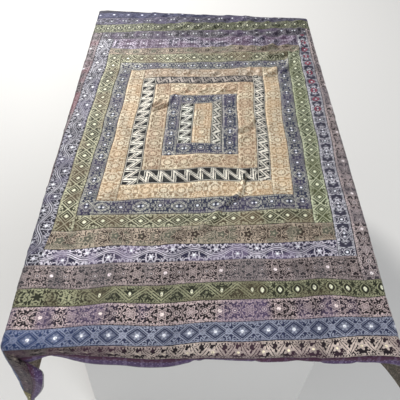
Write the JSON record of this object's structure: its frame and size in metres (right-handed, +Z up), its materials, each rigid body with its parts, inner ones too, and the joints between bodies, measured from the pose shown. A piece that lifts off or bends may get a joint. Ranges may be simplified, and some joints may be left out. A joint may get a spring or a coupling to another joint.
{
  "type": "patchwork table cover",
  "caption": "Rectangular patchwork table cover of woven sari border strips in square rounds about a centre panel, draped flat with hanging sides and folded corner ears.",
  "frame": {"origin": "middle of the underside of the flat top, where the lining rests on the table", "axes": "+Z up; +Y towards the far end, along the cloth's length; +X to the right"},
  "size_m": [1.1121, 1.7817, 0.3324],
  "materials": {
    "tan_brocade": "woven metallic-thread brocade, soft sheen",
    "zigzag_brocade": "woven metallic-thread brocade, soft sheen",
    "navy_brocade": "woven metallic-thread brocade, soft sheen",
    "green_brocade": "woven metallic-thread brocade, soft sheen",
    "brown_brocade": "woven metallic-thread brocade, soft sheen",
    "lilac_brocade": "woven metallic-thread brocade, soft sheen",
    "rose_brocade": "woven metallic-thread brocade, soft sheen",
    "blue_lattice_brocade": "woven metallic-thread brocade, soft sheen",
    "gold_brocade": "woven metallic-thread brocade, soft sheen",
    "purple_brocade": "woven metallic-thread brocade, soft sheen",
    "lining_cloth": "plain woven cotton, matte"
  },
  "bodies": {
    "root": {"centre_panel": "tan_brocade", "inner_zigzag_left": "zigzag_brocade", "inner_zigzag_right": "zigzag_brocade", "inner_blue_front": "navy_brocade", "inner_blue_back": "navy_brocade", "inner_blue_left": "navy_brocade", "inner_blue_right": "navy_brocade", "inner_tan_front": "tan_brocade", "inner_tan_back": "tan_brocade", "inner_tan_left": "tan_brocade", "inner_tan_right": "tan_brocade", "outer_zigzag_front": "zigzag_brocade", "outer_zigzag_back": "zigzag_brocade", "outer_zigzag_left": "zigzag_brocade", "outer_zigzag_right": "zigzag_brocade", "outer_tan_front": "tan_brocade", "outer_tan_back": "tan_brocade", "outer_tan_left": "tan_brocade", "outer_tan_right": "tan_brocade", "middle_blue_front": "navy_brocade", "middle_blue_back": "navy_brocade", "middle_blue_left": "navy_brocade", "middle_blue_right": "navy_brocade", "inner_green_front": "green_brocade", "inner_green_back": "green_brocade", "inner_green_left": "green_brocade", "inner_green_right": "green_brocade", "brown_paisley_front": "brown_brocade", "brown_paisley_back": "brown_brocade", "lilac_front": "lilac_brocade", "lilac_back": "lilac_brocade", "lilac_left": "lilac_brocade", "lilac_right": "lilac_brocade", "inner_rose_front": "rose_brocade", "inner_rose_back": "rose_brocade", "inner_rose_left": "rose_brocade", "inner_rose_right": "rose_brocade", "outer_green_front": "green_brocade", "outer_green_back": "green_brocade", "outer_green_left": "green_brocade", "outer_green_right": "green_brocade", "outer_rose_front": "rose_brocade", "outer_rose_back": "rose_brocade", "outer_rose_left": "rose_brocade", "outer_rose_right": "rose_brocade", "outer_blue_front": "blue_lattice_brocade", "outer_blue_back": "blue_lattice_brocade", "outer_blue_left": "blue_lattice_brocade", "outer_blue_right": "blue_lattice_brocade", "gold_front": "gold_brocade", "gold_back": "gold_brocade", "gold_left": "gold_brocade", "gold_right": "gold_brocade", "purple_hem_front": "purple_brocade", "purple_hem_back": "purple_brocade", "purple_hem_left": "purple_brocade", "purple_hem_right": "purple_brocade", "lining": "lining_cloth"}
  },
  "joints": []
}
